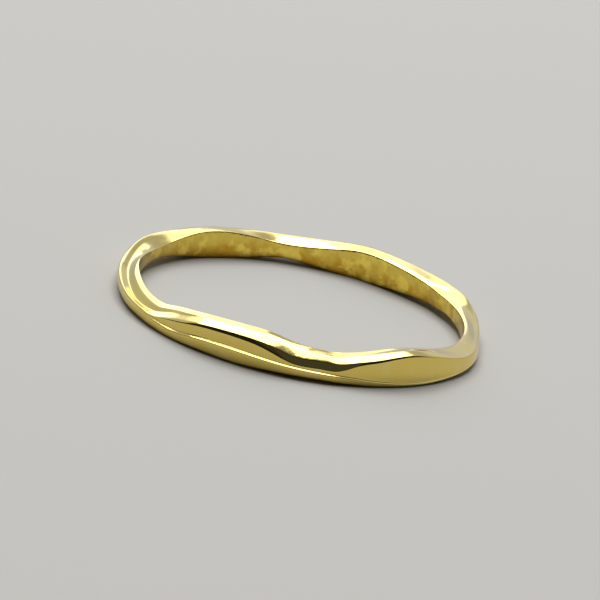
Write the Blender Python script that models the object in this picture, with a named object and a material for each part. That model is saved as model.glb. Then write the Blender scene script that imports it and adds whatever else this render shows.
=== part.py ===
"""Statement ring: one cast band with a wavy, facet-cut outline, lying on its side.

The origin is on the axis of the finger hole, on the plane that the ring lies on.
+Z runs along that axis. Angles run round +Z from +X. One solid: band.
"""

from collections import namedtuple
from math import radians

import bmesh
import bpy
import numpy as np

MM = 0.001

INNER_RADIUS = 8.87
SUBDIVISIONS = 2

# The outer facet's edges and the underside's outer edge, from the outer radius of their section.
RIDGE_OUT = -0.03
KEEL_OUT = 0.05
SOLE_OUT = -0.05

# How much higher than the keel the step's inner edge is, for each millimetre of the step's width.
STEP_RISE = 0.65

# How sharp each line that runs round the ring stays when the surface is smoothed, from 0 to 1.
HEEL_SHARPNESS = 0.7
LIP_SHARPNESS = 0.7
RIM_SHARPNESS = 0.6
BEAD_SHARPNESS = 0.6
BROW_SHARPNESS = 0.7
RIDGE_SHARPNESS = 0.8
STEP_SHARPNESS = 0.8
KEEL_SHARPNESS = 0.8
SOLE_SHARPNESS = 0.6

# The high places underneath are lapped flat, so that the ring lies still.
LAP_SIZE = 30.0
LAP_DEPTH = 5.0
LAP_BITE = 0.03

# The band swells and narrows, and its facets run into each other. One row for each section, in
# millimetres and degrees, with the heights measured from the plane that the ring lies on.
# lip: inner edge of the top. rim and bead: the lines between the three strips of the top. brow:
# outer edge of the top. ridge and keel: upper and lower edge of the outer facet. step: the width of
# the small ledge that stands out over the keel. sole and heel: outer and inner edge of the
# underside. outer: the radius of the outer facet.
Section = namedtuple(
    "Section", "angle outer lip_r lip rim_r rim bead_r bead brow_r brow ridge step keel sole heel"
)
SECTIONS = [
    Section(0, 9.80, 8.87, 1.21, 9.07, 1.28, 9.45, 1.00, 9.66, 0.93, 0.84, 0.02, 0.45, 0.15, 0.15),
    Section(14, 10.00, 8.87, 1.22, 9.07, 1.30, 9.55, 1.15, 9.80, 1.10, 1.00, 0.02, 0.45, 0.25, 0.28),
    Section(27, 10.20, 8.87, 1.24, 9.35, 1.32, 9.82, 1.41, 10.05, 1.42, 1.22, 0.02, 0.50, 0.38, 0.40),
    Section(36, 10.19, 8.87, 1.31, 9.38, 1.33, 9.86, 1.49, 10.06, 1.52, 1.28, 0.02, 0.52, 0.30, 0.32),
    Section(46, 10.15, 8.87, 1.42, 9.10, 1.55, 9.70, 1.57, 10.00, 1.60, 1.35, 0.02, 0.55, 0.22, 0.25),
    Section(67, 10.05, 8.87, 1.68, 9.25, 1.74, 9.65, 1.79, 9.88, 1.79, 1.55, 0.02, 0.60, 0.02, 0.00),
    Section(82, 10.00, 8.87, 1.40, 9.25, 1.50, 9.65, 1.59, 9.87, 1.61, 1.38, 0.02, 0.50, 0.00, 0.00),
    Section(98, 10.00, 8.87, 1.13, 9.25, 1.26, 9.65, 1.38, 9.87, 1.42, 1.15, 0.02, 0.45, 0.22, 0.25),
    Section(112, 10.00, 8.87, 1.38, 9.20, 1.41, 9.65, 1.46, 9.87, 1.47, 1.25, 0.02, 0.45, 0.08, 0.08),
    Section(127, 10.00, 8.87, 1.61, 9.15, 1.63, 9.60, 1.63, 9.82, 1.56, 1.33, 0.02, 0.50, 0.00, 0.00),
    Section(141, 10.05, 8.87, 1.45, 9.20, 1.48, 9.65, 1.51, 9.92, 1.51, 1.30, 0.02, 0.55, 0.20, 0.22),
    Section(155, 10.12, 8.87, 1.18, 9.22, 1.27, 9.70, 1.39, 10.00, 1.46, 1.30, 0.02, 0.70, 0.40, 0.43),
    Section(168, 10.05, 8.90, 1.22, 9.06, 1.25, 9.52, 1.19, 9.86, 1.28, 1.18, 0.02, 0.80, 0.35, 0.35),
    Section(180, 9.97, 8.93, 1.30, 9.05, 1.28, 9.44, 0.98, 9.76, 1.05, 1.08, 0.02, 0.85, 0.28, 0.22),
    Section(190, 9.95, 8.88, 1.26, 9.12, 1.21, 9.45, 0.84, 9.70, 0.91, 0.97, 0.02, 0.80, 0.23, 0.17),
    Section(199, 9.97, 8.87, 1.17, 9.18, 1.10, 9.47, 0.72, 9.72, 0.79, 0.88, 0.03, 0.75, 0.20, 0.15),
    Section(208, 10.00, 8.87, 1.08, 9.22, 0.97, 9.50, 0.59, 9.74, 0.68, 0.78, 0.04, 0.64, 0.16, 0.14),
    Section(217, 10.00, 8.87, 1.12, 9.29, 0.97, 9.48, 0.68, 9.80, 0.68, 0.70, 0.07, 0.57, 0.10, 0.12),
    Section(222, 10.00, 8.87, 1.27, 9.31, 1.11, 9.46, 0.89, 9.84, 0.73, 0.68, 0.12, 0.52, 0.06, 0.10),
    Section(228, 10.00, 8.87, 1.49, 9.32, 1.36, 9.41, 1.23, 9.87, 1.00, 0.91, 0.15, 0.48, 0.02, 0.07),
    Section(234, 10.00, 8.87, 1.64, 9.32, 1.53, 9.38, 1.46, 9.88, 1.20, 1.10, 0.16, 0.52, 0.02, 0.04),
    Section(241, 10.00, 8.87, 1.79, 9.31, 1.70, 9.38, 1.68, 9.89, 1.47, 1.30, 0.17, 0.68, 0.05, 0.03),
    Section(252, 10.00, 8.87, 1.91, 9.26, 1.83, 9.38, 1.81, 9.89, 1.62, 1.39, 0.17, 0.74, 0.02, 0.00),
    Section(262, 10.02, 8.87, 1.89, 9.20, 1.84, 9.42, 1.79, 9.89, 1.50, 1.22, 0.14, 0.67, 0.08, 0.02),
    Section(271, 10.04, 8.87, 1.61, 9.12, 1.55, 9.46, 1.42, 9.84, 1.13, 0.80, 0.12, 0.58, 0.12, 0.06),
    Section(279, 10.04, 8.87, 1.45, 9.05, 1.41, 9.46, 1.38, 9.82, 1.10, 0.76, 0.12, 0.52, 0.12, 0.08),
    Section(285, 10.04, 8.87, 1.41, 9.10, 1.36, 9.46, 1.33, 9.83, 1.09, 0.76, 0.12, 0.46, 0.08, 0.08),
    Section(291, 10.00, 8.87, 1.49, 9.12, 1.46, 9.48, 1.47, 9.86, 1.30, 1.13, 0.12, 0.37, 0.04, 0.05),
    Section(298, 9.98, 8.87, 1.64, 9.12, 1.62, 9.48, 1.65, 9.88, 1.50, 1.36, 0.11, 0.26, 0.00, 0.00),
    Section(308, 9.98, 8.87, 1.77, 9.12, 1.78, 9.52, 1.85, 9.89, 1.74, 1.63, 0.10, 0.17, 0.00, 0.00),
    Section(320, 9.98, 8.87, 1.58, 9.10, 1.59, 9.54, 1.62, 9.89, 1.52, 1.40, 0.09, 0.18, 0.03, 0.08),
    Section(335, 10.02, 8.87, 1.27, 9.08, 1.30, 9.60, 1.14, 9.92, 1.06, 0.96, 0.03, 0.30, 0.12, 0.25),
    Section(348, 9.92, 8.87, 1.20, 9.05, 1.27, 9.52, 1.04, 9.78, 0.98, 0.90, 0.02, 0.40, 0.20, 0.22),
]


def clear_scene():
    for obj in list(bpy.data.objects):
        bpy.data.objects.remove(obj, do_unlink=True)


def make_material(name, color, metallic, roughness):
    material = bpy.data.materials.new(name)
    material.use_nodes = True
    shader = material.node_tree.nodes["Principled BSDF"]
    shader.inputs["Base Color"].default_value = color
    shader.inputs["Metallic"].default_value = metallic
    shader.inputs["Roughness"].default_value = roughness
    return material


def profile_of(section):
    """The corners of one section as (radius, height): up the inner wall, over the top and down."""
    keel_r = section.outer + KEEL_OUT
    return [
        (INNER_RADIUS, section.heel - LAP_BITE),
        (section.lip_r, section.lip),
        (section.rim_r, section.rim),
        (section.bead_r, section.bead),
        (section.brow_r, section.brow),
        (section.outer + RIDGE_OUT, section.ridge),
        (keel_r - section.step, section.keel + STEP_RISE * section.step),
        (keel_r, section.keel),
        (section.outer + SOLE_OUT, section.sole - LAP_BITE),
    ]


SHARPNESS = [
    HEEL_SHARPNESS,
    LIP_SHARPNESS,
    RIM_SHARPNESS,
    BEAD_SHARPNESS,
    BROW_SHARPNESS,
    RIDGE_SHARPNESS,
    STEP_SHARPNESS,
    KEEL_SHARPNESS,
    SOLE_SHARPNESS,
]


def line_points(corner):
    """Where one line that runs round the ring crosses each section."""
    angles = np.radians([section.angle for section in SECTIONS])
    radii, heights = np.array([profile_of(section)[corner] for section in SECTIONS]).T
    return np.column_stack([radii * np.cos(angles), radii * np.sin(angles), heights]) * MM


def cage_points(points):
    """The cage's points, set so that the smoothed line passes through the given ones."""
    one = np.eye(len(points))
    smoothing = (4.0 * one + np.roll(one, 1, axis=0) + np.roll(one, -1, axis=0)) / 6.0
    return np.linalg.solve(smoothing, points)


def build_cage(mesh):
    """Joins the sections into a closed ring of four-sided faces, with its sharp lines creased."""
    bm = bmesh.new()
    crease = bm.edges.layers.float.new("crease_edge")
    lines = []
    for corner in range(len(SHARPNESS)):
        lines.append([bm.verts.new(point) for point in cage_points(line_points(corner))])
    for corner, sharpness in enumerate(SHARPNESS):
        line = lines[corner]
        inner = lines[corner - 1]
        for i in range(len(line)):
            k = (i + 1) % len(line)
            bm.faces.new((inner[i], line[i], line[k], inner[k]))
            bm.edges.get((line[i], line[k]))[crease] = sharpness
    bmesh.ops.recalc_face_normals(bm, faces=bm.faces)
    bm.to_mesh(mesh)
    bm.free()


def make_lap():
    """The slab that stands for the flat stone under the ring: what it covers is taken away."""
    bm = bmesh.new()
    bmesh.ops.create_cube(bm, size=1.0)
    bmesh.ops.scale(bm, verts=bm.verts, vec=(LAP_SIZE * MM, LAP_SIZE * MM, LAP_DEPTH * MM))
    bmesh.ops.translate(bm, verts=bm.verts, vec=(0.0, 0.0, -LAP_DEPTH * MM / 2))
    mesh = bpy.data.meshes.new("lap")
    bm.to_mesh(mesh)
    bm.free()
    lap = bpy.data.objects.new("lap", mesh)
    lap.hide_render = True
    lap.display_type = "WIRE"
    bpy.context.collection.objects.link(lap)
    return lap


def make_band():
    mesh = bpy.data.meshes.new("band")
    build_cage(mesh)
    mesh.materials.append(make_material("Polished gold plating", (0.80, 0.60, 0.18, 1.0), 1.0, 0.12))
    band = bpy.data.objects.new("band", mesh)
    bpy.context.collection.objects.link(band)
    smooth = band.modifiers.new("Smooth", "SUBSURF")
    smooth.levels = SUBDIVISIONS
    smooth.render_levels = SUBDIVISIONS
    lapping = band.modifiers.new("Lapping", "BOOLEAN")
    lapping.operation = "DIFFERENCE"
    lapping.solver = "EXACT"
    lapping.object = make_lap()
    mesh.shade_smooth()
    mesh.set_sharp_from_angle(angle=radians(35.0))
    return band


clear_scene()
make_band()
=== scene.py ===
"""The look of a wavy stacking ring, gold plated and polished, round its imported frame.

Lengths are in metres unless a name says otherwise. The origin is on the axis of the finger
hole, on the floor, and +Z runs along that axis.
"""

from collections import namedtuple
from math import cos, radians, sin

import bmesh
import bpy
import numpy as np
from mathutils import Matrix, Vector


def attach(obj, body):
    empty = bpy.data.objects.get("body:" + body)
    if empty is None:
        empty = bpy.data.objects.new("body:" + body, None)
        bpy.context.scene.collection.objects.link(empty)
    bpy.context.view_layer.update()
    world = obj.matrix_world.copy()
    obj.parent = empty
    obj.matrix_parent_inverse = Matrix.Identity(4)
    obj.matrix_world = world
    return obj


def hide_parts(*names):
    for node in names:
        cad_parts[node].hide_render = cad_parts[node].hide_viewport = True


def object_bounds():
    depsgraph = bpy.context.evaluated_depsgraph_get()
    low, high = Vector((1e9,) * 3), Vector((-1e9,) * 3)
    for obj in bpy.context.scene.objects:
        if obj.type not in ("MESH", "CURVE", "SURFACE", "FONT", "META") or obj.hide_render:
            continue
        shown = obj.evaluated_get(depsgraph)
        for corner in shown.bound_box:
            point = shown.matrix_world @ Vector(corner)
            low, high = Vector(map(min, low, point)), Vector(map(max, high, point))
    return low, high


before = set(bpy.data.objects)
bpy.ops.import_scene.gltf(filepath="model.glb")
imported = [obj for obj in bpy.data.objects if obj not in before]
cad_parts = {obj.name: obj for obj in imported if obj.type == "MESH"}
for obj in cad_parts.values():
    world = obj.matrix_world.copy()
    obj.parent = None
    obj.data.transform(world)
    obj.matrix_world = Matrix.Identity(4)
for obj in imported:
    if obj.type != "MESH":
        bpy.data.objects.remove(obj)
cad_low, cad_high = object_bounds()

bl_info = {
    "name": "Wavy Stacking Ring",
    "version": (1, 0, 0),
    "blender": (4, 5, 0),
    "location": "3D View > Sidebar > Stacking Ring",
    "description": "Builds a gold-plated wavy stacking ring and the stage that it lies on",
    "category": "Add Mesh",
}

MM = 0.001

# One row for each section of the band, in degrees round the axis from +X and in millimetres. The
# names are those of the lines that run round the ring: alone, a name is the line's height over the
# floor, and with _r its radius.
# lip: inner edge of the top. rim and bead: the lines between the three strips of the top. brow:
# outer edge of the top. ridge and keel: upper and lower edge of the outer facet. step: the width of
# the small ledge that stands out over the keel. sole and heel: outer and inner edge of the
# underside. outer: the radius of the outer facet.
Section = namedtuple(
    "Section", "angle outer lip_r lip rim_r rim bead_r bead brow_r brow ridge step keel sole heel"
)
SECTIONS = [
    Section(0, 9.80, 8.87, 1.21, 9.07, 1.28, 9.45, 1.00, 9.66, 0.93, 0.84, 0.02, 0.45, 0.15, 0.15),
    Section(14, 10.00, 8.87, 1.22, 9.07, 1.30, 9.55, 1.15, 9.80, 1.10, 1.00, 0.02, 0.45, 0.25, 0.28),
    Section(27, 10.20, 8.87, 1.24, 9.35, 1.32, 9.82, 1.41, 10.05, 1.42, 1.22, 0.02, 0.50, 0.38, 0.40),
    Section(36, 10.19, 8.87, 1.31, 9.38, 1.33, 9.86, 1.49, 10.06, 1.52, 1.28, 0.02, 0.52, 0.30, 0.32),
    Section(46, 10.15, 8.87, 1.42, 9.10, 1.55, 9.70, 1.57, 10.00, 1.60, 1.35, 0.02, 0.55, 0.22, 0.25),
    Section(67, 10.05, 8.87, 1.68, 9.25, 1.74, 9.65, 1.79, 9.88, 1.79, 1.55, 0.02, 0.60, 0.02, 0.00),
    Section(82, 10.00, 8.87, 1.40, 9.25, 1.50, 9.65, 1.59, 9.87, 1.61, 1.38, 0.02, 0.50, 0.00, 0.00),
    Section(98, 10.00, 8.87, 1.13, 9.25, 1.26, 9.65, 1.38, 9.87, 1.42, 1.15, 0.02, 0.45, 0.22, 0.25),
    Section(112, 10.00, 8.87, 1.38, 9.20, 1.41, 9.65, 1.46, 9.87, 1.47, 1.25, 0.02, 0.45, 0.08, 0.08),
    Section(127, 10.00, 8.87, 1.61, 9.15, 1.63, 9.60, 1.63, 9.82, 1.56, 1.33, 0.02, 0.50, 0.00, 0.00),
    Section(141, 10.05, 8.87, 1.45, 9.20, 1.48, 9.65, 1.51, 9.92, 1.51, 1.30, 0.02, 0.55, 0.20, 0.22),
    Section(155, 10.12, 8.87, 1.18, 9.22, 1.27, 9.70, 1.39, 10.00, 1.46, 1.30, 0.02, 0.70, 0.40, 0.43),
    Section(168, 10.05, 8.90, 1.22, 9.06, 1.25, 9.52, 1.19, 9.86, 1.28, 1.18, 0.02, 0.80, 0.35, 0.35),
    Section(180, 9.97, 8.93, 1.30, 9.05, 1.28, 9.44, 0.98, 9.76, 1.05, 1.08, 0.02, 0.85, 0.28, 0.22),
    Section(190, 9.95, 8.88, 1.26, 9.12, 1.21, 9.45, 0.84, 9.70, 0.91, 0.97, 0.02, 0.80, 0.23, 0.17),
    Section(199, 9.97, 8.87, 1.17, 9.18, 1.10, 9.47, 0.72, 9.72, 0.79, 0.88, 0.03, 0.75, 0.20, 0.15),
    Section(208, 10.00, 8.87, 1.08, 9.22, 0.97, 9.50, 0.59, 9.74, 0.68, 0.78, 0.04, 0.64, 0.16, 0.14),
    Section(217, 10.00, 8.87, 1.12, 9.29, 0.97, 9.48, 0.68, 9.80, 0.68, 0.70, 0.07, 0.57, 0.10, 0.12),
    Section(222, 10.00, 8.87, 1.27, 9.31, 1.11, 9.46, 0.89, 9.84, 0.73, 0.68, 0.12, 0.52, 0.06, 0.10),
    Section(228, 10.00, 8.87, 1.49, 9.32, 1.36, 9.41, 1.23, 9.87, 1.00, 0.91, 0.15, 0.48, 0.02, 0.07),
    Section(234, 10.00, 8.87, 1.64, 9.32, 1.53, 9.38, 1.46, 9.88, 1.20, 1.10, 0.16, 0.52, 0.02, 0.04),
    Section(241, 10.00, 8.87, 1.79, 9.31, 1.70, 9.38, 1.68, 9.89, 1.47, 1.30, 0.17, 0.68, 0.05, 0.03),
    Section(252, 10.00, 8.87, 1.91, 9.26, 1.83, 9.38, 1.81, 9.89, 1.62, 1.39, 0.17, 0.74, 0.02, 0.00),
    Section(262, 10.02, 8.87, 1.89, 9.20, 1.84, 9.42, 1.79, 9.89, 1.50, 1.22, 0.14, 0.67, 0.08, 0.02),
    Section(271, 10.04, 8.87, 1.61, 9.12, 1.55, 9.46, 1.42, 9.84, 1.13, 0.80, 0.12, 0.58, 0.12, 0.06),
    Section(279, 10.04, 8.87, 1.45, 9.05, 1.41, 9.46, 1.38, 9.82, 1.10, 0.76, 0.12, 0.52, 0.12, 0.08),
    Section(285, 10.04, 8.87, 1.41, 9.10, 1.36, 9.46, 1.33, 9.83, 1.09, 0.76, 0.12, 0.46, 0.08, 0.08),
    Section(291, 10.00, 8.87, 1.49, 9.12, 1.46, 9.48, 1.47, 9.86, 1.30, 1.13, 0.12, 0.37, 0.04, 0.05),
    Section(298, 9.98, 8.87, 1.64, 9.12, 1.62, 9.48, 1.65, 9.88, 1.50, 1.36, 0.11, 0.26, 0.00, 0.00),
    Section(308, 9.98, 8.87, 1.77, 9.12, 1.78, 9.52, 1.85, 9.89, 1.74, 1.63, 0.10, 0.17, 0.00, 0.00),
    Section(320, 9.98, 8.87, 1.58, 9.10, 1.59, 9.54, 1.62, 9.89, 1.52, 1.40, 0.09, 0.18, 0.03, 0.08),
    Section(335, 10.02, 8.87, 1.27, 9.08, 1.30, 9.60, 1.14, 9.92, 1.06, 0.96, 0.03, 0.30, 0.12, 0.25),
    Section(348, 9.92, 8.87, 1.20, 9.05, 1.27, 9.52, 1.04, 9.78, 0.98, 0.90, 0.02, 0.40, 0.20, 0.22),
]

# How much higher than the keel the step's inner edge is, for each millimetre of the step's width.
STEP_RISE = 0.65

# How far each line is polished round, in millimetres along the two sides that meet there.
ROUNDING = {
    "sole": 0.08,
    "keel": 0.014,
    "step": 0.014,
    "ridge": 0.05,
    "brow": 0.03,
    "bead": 0.03,
    "rim": 0.03,
    "lip": 0.01,
    "heel": 0.10,
}

# The rounding stops short of this share of a side, so that the lines of a narrow strip stay apart.
LARGEST_SHARE = 0.4

# The plain wire that the band is shaped from, in millimetres.
WIRE_RADIUS = 0.5

SMOOTHING_LEVELS = 3
SHARPEST_SMOOTH_ANGLE = radians(40.0)

# The clouds of colour and relief on the gold: the size of the largest ones in millimetres, and how
# much fine structure they have. Real brush marks are finer, and are drawn as coarse as they need to
# be to show.
Cloud = namedtuple("Cloud", "size detail roughness")
CLOUDS = {
    "mottle": Cloud(1.3, 4.0, 0.60),
    "cast_grain": Cloud(0.6, 3.0, 0.60),
    "brushing": Cloud(0.25, 2.0, 0.50),
    "polishing": Cloud(1.1, 3.0, 0.45),
}

# How deep the relief of the polished facets and of the cast skin is, in millimetres.
POLISHING_DEPTH = 0.010
CAST_DEPTH = 0.045

# How far the softbox leans back from straight overhead, and how far to the left it stands, as a
# share of its distance.
SOFTBOX_TILT = radians(19.0)
SOFTBOX_LEFT = 0.09

# How far the tall window stands to the left of straight behind.
WINDOW_TURN = radians(20.0)

# Directions in the studio, as seen from the camera. The last is level and runs along the tall
# window.
UP = (0.0, 0.0, 1.0)
RIGHT = (1.0, 0.0, 0.0)
FAR = (0.0, 1.0, 0.0)
OVERHEAD = (0.0, sin(SOFTBOX_TILT), cos(SOFTBOX_TILT))
ALONG_TALL_WINDOW = (cos(WINDOW_TURN), sin(WINDOW_TURN), 0.0)

# The studio round the ring, as patches of light. A fade goes from low to high while a direction's
# share along the fade's axis goes from start to end, and a patch is the product of its fades.
Fade = namedtuple("Fade", "axis start end low high")
DARK_CAMERA_SIDE = Fade(FAR, -0.10, 0.35, 0.03, 1.0)
WALLS = (
    DARK_CAMERA_SIDE,
    Fade(OVERHEAD, 0.30, 0.64, 0.50, 0.74),
    Fade(OVERHEAD, 0.66, 0.74, 1.0, 0.7),
)
CEILING = (Fade(OVERHEAD, 0.84, 0.92, 0.0, 0.3),)
TALL_WINDOW = (
    DARK_CAMERA_SIDE,
    Fade(UP, 0.14, 0.26, 0.0, 1.5),
    Fade(UP, 0.80, 0.90, 1.0, 0.0),
    Fade(ALONG_TALL_WINDOW, -0.24, -0.16, 0.0, 1.0),
    Fade(ALONG_TALL_WINDOW, 0.16, 0.24, 1.0, 0.0),
)
WIDE_WINDOW = (
    DARK_CAMERA_SIDE,
    Fade(UP, 0.30, 0.40, 0.0, 1.1),
    Fade(UP, 0.68, 0.78, 1.0, 0.0),
    Fade(RIGHT, -0.30, -0.20, 0.0, 1.0),
    Fade(RIGHT, 0.04, 0.10, 1.0, 0.0),
)
SKY_COLOUR = (0.94, 1.0, 1.3, 1.0)


def linear(hex_colour):
    """An sRGB hex colour such as "c8a040" as linear red, green and blue."""
    channels = [int(hex_colour[i : i + 2], 16) / 255 for i in (0, 2, 4)]
    return tuple(
        channel / 12.92 if channel <= 0.04045 else ((channel + 0.055) / 1.055) ** 2.4
        for channel in channels
    )


class BandSettings(bpy.types.PropertyGroup):
    inner_radius: bpy.props.FloatProperty(
        name="Inner radius",
        description="Radius of the finger hole",
        default=0.00887,
        unit="LENGTH",
    )
    ridge_inset: bpy.props.FloatProperty(
        name="Ridge inset",
        description="How far the outer facet's upper edge lies inside the section's radius",
        default=0.00003,
        unit="LENGTH",
    )
    keel_reach: bpy.props.FloatProperty(
        name="Keel reach",
        description="How far the outer facet's lower edge stands outside the section's radius",
        default=0.00005,
        unit="LENGTH",
    )
    sole_inset: bpy.props.FloatProperty(
        name="Sole inset",
        description="How far the underside's outer edge lies inside the section's radius",
        default=0.00005,
        unit="LENGTH",
    )
    lap_bite: bpy.props.FloatProperty(
        name="Lap bite",
        description="How much is lapped off the lowest places underneath",
        default=0.00003,
        unit="LENGTH",
    )
    gold: bpy.props.FloatVectorProperty(
        name="Gold",
        description="Colour of the gold plating, seen straight on",
        default=linear("e7ce6e"),
        size=3,
        subtype="COLOR",
        min=0.0,
        max=1.0,
    )
    inner_gold: bpy.props.FloatVectorProperty(
        name="Inner gold",
        description="Colour of the upper part of the finger hole's wall",
        default=linear("e6cb5c"),
        size=3,
        subtype="COLOR",
        min=0.0,
        max=1.0,
    )
    # Painted shade: this darker gold is painted on the foot of the finger hole's wall.
    painted_shade_gold: bpy.props.FloatVectorProperty(
        name="Deep gold",
        description="Colour of the lower part of the finger hole's wall",
        default=linear("cc9f33"),
        size=3,
        subtype="COLOR",
        min=0.0,
        max=1.0,
    )
    # Painted highlight: bright spots in this colour are painted on the finger hole's wall as glints.
    painted_glint_gold: bpy.props.FloatVectorProperty(
        name="Glint gold",
        description="Colour of the bright spots on the finger hole's wall",
        default=linear("ffe468"),
        size=3,
        subtype="COLOR",
        min=0.0,
        max=1.0,
    )
    worn_gold: bpy.props.FloatVectorProperty(
        name="Worn gold",
        description="Colour of the patches where the plating is worn thin over the silver",
        default=linear("f3e6b4"),
        size=3,
        subtype="COLOR",
        min=0.0,
        max=1.0,
    )


class StageSettings(bpy.types.PropertyGroup):
    floor_size: bpy.props.FloatProperty(
        name="Floor size",
        description="Side of the square floor",
        default=1.6,
        unit="LENGTH",
    )
    floor: bpy.props.FloatVectorProperty(
        name="Floor",
        description="Colour of the card that the ring lies on",
        default=linear("bab5a2"),
        size=3,
        subtype="COLOR",
        min=0.0,
        max=1.0,
    )
    camera_distance: bpy.props.FloatProperty(
        name="Camera distance",
        description="From the camera to the middle of the ring",
        default=0.18,
        unit="LENGTH",
    )
    camera_elevation: bpy.props.FloatProperty(
        name="Camera elevation",
        description="Angle of the view above the floor",
        default=radians(18.2),
        subtype="ANGLE",
    )
    camera_roll: bpy.props.FloatProperty(
        name="Camera roll",
        description="How far the camera is turned about its own line of sight",
        default=radians(11.4),
        subtype="ANGLE",
    )
    lens: bpy.props.FloatProperty(
        name="Lens",
        description="Focal length of the camera, in millimetres",
        default=201.0,
        unit="CAMERA",
    )
    softbox_size: bpy.props.FloatProperty(
        name="Softbox size",
        description="Diameter of the round softbox over the ring",
        default=0.60,
        unit="LENGTH",
    )
    softbox_distance: bpy.props.FloatProperty(
        name="Softbox distance",
        description="From the softbox to the middle of the floor",
        default=0.55,
        unit="LENGTH",
    )
    softbox_power: bpy.props.FloatProperty(
        name="Softbox power",
        description="Power of the softbox, in watts",
        default=3.2,
    )
    softbox_colour: bpy.props.FloatVectorProperty(
        name="Softbox colour",
        description="Colour of the softbox's light, a little cooler than white",
        default=(0.97, 1.0, 1.15),
        size=3,
        subtype="COLOR",
        min=0.0,
    )


def corners_of(section, settings):
    """The corners of one section as (radius, height) in mm: up the outside, over the top and down."""
    keel_r = section.outer + settings.keel_reach / MM
    return [
        (section.outer - settings.sole_inset / MM, section.sole - settings.lap_bite / MM),
        (keel_r, section.keel),
        (keel_r - section.step, section.keel + STEP_RISE * section.step),
        (section.outer - settings.ridge_inset / MM, section.ridge),
        (section.brow_r, section.brow),
        (section.bead_r, section.bead),
        (section.rim_r, section.rim),
        (section.lip_r, section.lip),
        (settings.inner_radius / MM, section.heel - settings.lap_bite / MM),
    ]


def rounded(corners):
    """Each corner as two points, set back from it along the two sides that meet there."""
    reach = np.array(list(ROUNDING.values()))[None, :, None]
    pairs = []
    for neighbour in (1, -1):
        side = np.roll(corners, neighbour, axis=1) - corners
        length = np.linalg.norm(side, axis=2, keepdims=True)
        pairs.append(corners + side / length * np.minimum(reach, LARGEST_SHARE * length))
    return np.stack(pairs, axis=2).reshape(len(corners), -1, 2)


def cage_points(points):
    """The cage's points, set so that the smoothed lines pass through the given ones.

    The weights are those of the cubic spline that a smoothed cage settles on.
    """
    one = np.eye(len(points))
    smoothing = (4.0 * one + np.roll(one, 1, axis=0) + np.roll(one, -1, axis=0)) / 6.0
    return np.linalg.solve(smoothing, points.reshape(len(points), -1)).reshape(points.shape)


def refined(points):
    """The same smooth lines with a section added between every two, by the same spline's weights."""
    before = np.roll(points, 1, axis=0)
    after = np.roll(points, -1, axis=0)
    kept = (before + 6.0 * points + after) / 8.0
    added = (points + after) / 2.0
    return np.stack([kept, added], axis=1).reshape(-1, *points.shape[1:])


def band_cage(settings):
    """The cage's points in metres, section by section."""
    corners = np.array([corners_of(section, settings) for section in SECTIONS])
    profiles = rounded(corners)
    angles = np.radians([section.angle for section in SECTIONS])[:, None]
    radii = profiles[:, :, 0]
    points = np.stack([radii * np.cos(angles), radii * np.sin(angles), profiles[:, :, 1]], axis=2)
    return refined(cage_points(points)) * MM


def deselect_all():
    bpy.ops.object.select_all(action="DESELECT")


def apply_modifiers(obj):
    for modifier in list(obj.modifiers):
        bpy.ops.object.modifier_apply(modifier=modifier.name)


def add_node(tree, kind, inputs=None, output=0, **settings):
    """Adds a node with its settings, sets or links its inputs, and gives the output asked for.

    An input goes by its name, or by its number where names repeat. A Map Range's inputs 1 to 4 are
    the start and the end of the values that it reads, and what it gives at each.
    """
    node = tree.nodes.new(kind)
    for name, value in settings.items():
        setattr(node, name, value)
    for name, value in (inputs or {}).items():
        if isinstance(value, bpy.types.NodeSocket):
            tree.links.new(value, node.inputs[name])
        else:
            node.inputs[name].default_value = value
    return node.outputs[output]


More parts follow.
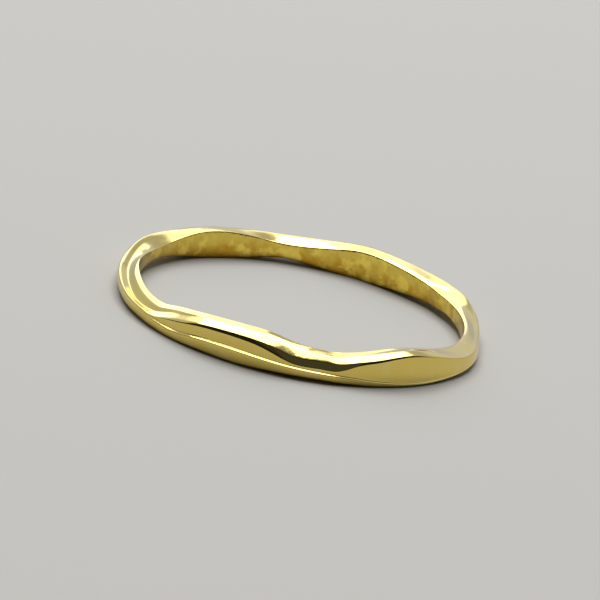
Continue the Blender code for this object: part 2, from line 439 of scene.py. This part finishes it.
def gold_material(settings):
    """Silver cast from carved wax, filed in facets, tumbled bright and plated with yellow gold.

    The eye sees mirror-bright facets with soft waves in their reflections, paler patches where the
    plating wears, and inside a mottled gold where the cast skin is only brushed, with painted shade
    that darkens it towards the foot of the wall and painted glints, bright spots that stand in for
    light.
    """
    material = bpy.data.materials.new("Polished cast silver with yellow gold plating")
    material.use_nodes = True
    tree = material.node_tree
    shader = tree.nodes["Principled BSDF"]
    shader.inputs["Metallic"].default_value = 1.0

    place = add_node(tree, "ShaderNodeTexCoord", output="Object")
    normal = add_node(tree, "ShaderNodeTexCoord", output="Normal")
    height = add_node(tree, "ShaderNodeSeparateXYZ", {0: place}, "Z")
    clouds = {
        name: add_node(
            tree,
            "ShaderNodeTexNoise",
            {
                "Vector": place,
                "Scale": 1 / (cloud.size * MM),
                "Detail": cloud.detail,
                "Roughness": cloud.roughness,
            },
            "Fac",
        )
        for name, cloud in CLOUDS.items()
    }

    # The finger hole's wall is where the surface faces the ring's axis.
    flat = add_node(
        tree, "ShaderNodeVectorMath", {0: place, 1: (1.0, 1.0, 0.0)}, "Vector", operation="MULTIPLY"
    )
    outward = add_node(tree, "ShaderNodeVectorMath", {0: flat}, "Vector", operation="NORMALIZE")
    facing = add_node(
        tree, "ShaderNodeVectorMath", {0: outward, 1: normal}, "Value", operation="DOT_PRODUCT"
    )
    inside = add_node(
        tree, "ShaderNodeMapRange", {"Value": facing, 1: -0.85, 2: -0.65, 3: 1.0, 4: 0.0}, "Result"
    )

    # Inside, painted shade darkens the gold towards the foot of the wall, along an uneven border.
    border = add_node(
        tree,
        "ShaderNodeMapRange",
        {"Value": clouds["cast_grain"], 1: 0.3, 2: 0.7, 3: -0.4 * MM, 4: 0.4 * MM},
        "Result",
    )
    uneven = add_node(tree, "ShaderNodeMath", {0: height, 1: border}, "Value", operation="ADD")
    upper = add_node(
        tree,
        "ShaderNodeMapRange",
        {"Value": uneven, 1: 0.30 * MM, 2: 1.25 * MM, 3: 0.0, 4: 1.0},
        "Result",
    )
    # The wall's gold with painted shade towards its foot, mixed by height.
    skin = add_node(
        tree,
        "ShaderNodeMix",
        {"Factor": upper, "A": (*settings.painted_shade_gold, 1.0), "B": (*settings.inner_gold, 1.0)},
        "Result",
        data_type="RGBA",
    )
    # Painted highlights: the glint colour is painted on the wall where the mottle clouds are highest.
    painted_glints = add_node(
        tree,
        "ShaderNodeMapRange",
        {"Value": clouds["mottle"], 1: 0.52, 2: 0.60, 3: 0.0, 4: 0.8},
        "Result",
    )
    wall = add_node(
        tree,
        "ShaderNodeMix",
        {"Factor": painted_glints, "A": skin, "B": (*settings.painted_glint_gold, 1.0)},
        "Result",
        data_type="RGBA",
    )

    # On the facets the plating is worn paler here and there.
    wear = add_node(
        tree,
        "ShaderNodeMapRange",
        {"Value": clouds["mottle"], 1: 0.50, 2: 0.75, 3: 0.0, 4: 0.3},
        "Result",
    )
    facets = add_node(
        tree,
        "ShaderNodeMix",
        {"Factor": wear, "A": (*settings.gold, 1.0), "B": (*settings.worn_gold, 1.0)},
        "Result",
        data_type="RGBA",
    )
    colour = add_node(
        tree,
        "ShaderNodeMix",
        {"Factor": inside, "A": facets, "B": wall},
        "Result",
        data_type="RGBA",
    )
    tree.links.new(colour, shader.inputs["Base Color"])

    brushed = add_node(
        tree,
        "ShaderNodeMapRange",
        {"Value": clouds["brushing"], 1: 0.3, 2: 0.7, 3: 0.08, 4: 0.14},
        "Result",
    )
    rough = add_node(
        tree,
        "ShaderNodeMath",
        {0: inside, 1: 0.10, 2: brushed},
        "Value",
        operation="MULTIPLY_ADD",
    )
    tree.links.new(rough, shader.inputs["Roughness"])

    waves = add_node(
        tree,
        "ShaderNodeBump",
        {"Height": clouds["polishing"], "Distance": POLISHING_DEPTH * MM},
        "Normal",
    )
    pits = add_node(
        tree,
        "ShaderNodeBump",
        {
            "Height": clouds["cast_grain"],
            "Distance": CAST_DEPTH * MM,
            "Strength": inside,
            "Normal": waves,
        },
        "Normal",
    )
    tree.links.new(pits, shader.inputs["Normal"])
    return material


def floor_material(settings):
    """Pale matt card, which the eye sees as one even, slightly warm grey with no shine."""
    material = bpy.data.materials.new("Matt card")
    material.use_nodes = True
    shader = material.node_tree.nodes["Principled BSDF"]
    shader.inputs["Base Color"].default_value = (*settings.floor, 1.0)
    shader.inputs["Roughness"].default_value = 0.9
    shader.inputs["Specular IOR Level"].default_value = 0.2
    return material


class STACKING_RING_OT_band(bpy.types.Operator):
    """Adds the gold-plated band and sets it in the place of its solid"""

    bl_idname = "stacking_ring.band"
    bl_label = "Gold Band"

    def execute(self, context):
        settings = context.scene.ring_band
        cage = band_cage(settings)
        sections, lines = cage.shape[:2]
        deselect_all()
        bpy.ops.mesh.primitive_torus_add(
            major_segments=sections,
            minor_segments=lines,
            major_radius=settings.inner_radius + WIRE_RADIUS * MM,
            minor_radius=WIRE_RADIUS * MM,
        )
        band = context.object
        band.name = band.data.name = "gold_band"
        bpy.ops.object.mode_set(mode="EDIT")
        bm = bmesh.from_edit_mesh(band.data)
        bm.verts.ensure_lookup_table()
        # The torus's vertices run round one section after another, as the cage's points do.
        for vertex, point in zip(bm.verts, cage.reshape(-1, 3)):
            vertex.co = point
        bmesh.update_edit_mesh(band.data)
        bpy.ops.object.mode_set(mode="OBJECT")
        smooth = band.modifiers.new("Smooth", "SUBSURF")
        smooth.levels = SMOOTHING_LEVELS
        smooth.render_levels = SMOOTHING_LEVELS
        apply_modifiers(band)
        bpy.ops.object.mode_set(mode="EDIT")
        bm = bmesh.from_edit_mesh(band.data)
        # The lowest places are lapped flat on the floor.
        for vertex in bm.verts:
            vertex.co.z = max(vertex.co.z, 0.0)
        bmesh.update_edit_mesh(band.data)
        bpy.ops.mesh.select_all(action="SELECT")
        bpy.ops.mesh.normals_make_consistent(inside=False)
        bpy.ops.object.mode_set(mode="OBJECT")
        bpy.ops.object.shade_smooth_by_angle(angle=SHARPEST_SMOOTH_ANGLE)
        band.data.materials.clear()
        band.data.materials.append(gold_material(settings))
        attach(band, "root")
        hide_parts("band")
        return {"FINISHED"}


class STACKING_RING_OT_stage(bpy.types.Operator):
    """Adds the floor, the lights and the camera"""

    bl_idname = "stacking_ring.stage"
    bl_label = "Stage"

    def execute(self, context):
        settings = context.scene.ring_stage
        self.add_floor(context, settings)
        self.add_sky(context)
        self.add_softbox(context, settings)
        self.add_camera(context, settings)
        context.scene.view_settings.view_transform = "Standard"
        return {"FINISHED"}

    def add_floor(self, context, settings):
        deselect_all()
        bpy.ops.mesh.primitive_plane_add(size=settings.floor_size)
        floor = context.object
        floor.name = floor.data.name = "floor"
        floor.data.materials.append(floor_material(settings))

    def add_sky(self, context):
        world = bpy.data.worlds.new("Studio")
        world.use_nodes = True
        tree = world.node_tree
        background = tree.nodes["Background"]
        walls, ceiling, tall_window, wide_window = (
            self.add_patch(tree, fades) for fades in (WALLS, CEILING, TALL_WINDOW, WIDE_WINDOW)
        )
        room = add_node(tree, "ShaderNodeMath", {0: walls, 1: ceiling}, "Value", operation="ADD")
        # The windows overlap, and where they do the brighter one shows.
        windows = add_node(
            tree, "ShaderNodeMath", {0: tall_window, 1: wide_window}, "Value", operation="MAXIMUM"
        )
        light = add_node(tree, "ShaderNodeMath", {0: room, 1: windows}, "Value", operation="ADD")
        background.inputs["Color"].default_value = SKY_COLOUR
        tree.links.new(light, background.inputs["Strength"])
        context.scene.world = world

    def add_patch(self, tree, fades):
        """The nodes for one patch of light, the product of its fades."""
        direction = add_node(tree, "ShaderNodeTexCoord", output="Generated")
        patch = 1.0
        for fade in fades:
            share = add_node(
                tree,
                "ShaderNodeVectorMath",
                {0: direction, 1: fade.axis},
                "Value",
                operation="DOT_PRODUCT",
            )
            level = add_node(
                tree,
                "ShaderNodeMapRange",
                {"Value": share, 1: fade.start, 2: fade.end, 3: fade.low, 4: fade.high},
                "Result",
                interpolation_type="SMOOTHSTEP",
            )
            patch = add_node(
                tree, "ShaderNodeMath", {0: patch, 1: level}, "Value", operation="MULTIPLY"
            )
        return patch

    def add_softbox(self, context, settings):
        light = bpy.data.lights.new("Softbox", "AREA")
        light.shape = "DISK"
        light.size = settings.softbox_size
        light.color = settings.softbox_colour
        light.energy = settings.softbox_power
        softbox = bpy.data.objects.new("Softbox", light)
        toward = (Vector(OVERHEAD) - SOFTBOX_LEFT * Vector(RIGHT)).normalized()
        softbox.location = toward * settings.softbox_distance
        softbox.rotation_mode = "QUATERNION"
        softbox.rotation_quaternion = toward.to_track_quat("Z", "Y")
        context.collection.objects.link(softbox)

    def add_camera(self, context, settings):
        data = bpy.data.cameras.new("Camera")
        data.lens = settings.lens
        data.clip_start = 0.01
        camera = bpy.data.objects.new("Camera", data)
        elevation = settings.camera_elevation
        roll = settings.camera_roll
        right = Vector(RIGHT)
        up = Vector((0.0, sin(elevation), cos(elevation)))
        to_camera = Vector((0.0, -cos(elevation), sin(elevation)))
        across = cos(roll) * right + sin(roll) * up
        upright = cos(roll) * up - sin(roll) * right
        turn = Matrix((across, upright, to_camera)).transposed().to_4x4()
        middle = (cad_low + cad_high) / 2
        place = middle + to_camera * settings.camera_distance
        camera.matrix_world = Matrix.Translation(place) @ turn
        context.collection.objects.link(camera)
        context.scene.camera = camera


class STACKING_RING_PT_panel(bpy.types.Panel):
    bl_idname = "STACKING_RING_PT_panel"
    bl_label = "Stacking Ring"
    bl_space_type = "VIEW_3D"
    bl_region_type = "UI"
    bl_category = "Stacking Ring"

    def draw(self, context):
        layout = self.layout
        for title, settings, operator in (
            ("Band", context.scene.ring_band, STACKING_RING_OT_band),
            ("Stage", context.scene.ring_stage, STACKING_RING_OT_stage),
        ):
            box = layout.box()
            box.label(text=title)
            for name in settings.__annotations__:
                box.prop(settings, name)
            box.operator(operator.bl_idname)


CLASSES = (
    BandSettings,
    StageSettings,
    STACKING_RING_OT_band,
    STACKING_RING_OT_stage,
    STACKING_RING_PT_panel,
)


def register():
    for cls in CLASSES:
        bpy.utils.register_class(cls)
    bpy.types.Scene.ring_band = bpy.props.PointerProperty(type=BandSettings)
    bpy.types.Scene.ring_stage = bpy.props.PointerProperty(type=StageSettings)


def unregister():
    del bpy.types.Scene.ring_stage
    del bpy.types.Scene.ring_band
    for cls in reversed(CLASSES):
        bpy.utils.unregister_class(cls)


def main():
    register()
    bpy.ops.stacking_ring.band()
    bpy.ops.stacking_ring.stage()


if __name__ == "__main__":
    main()
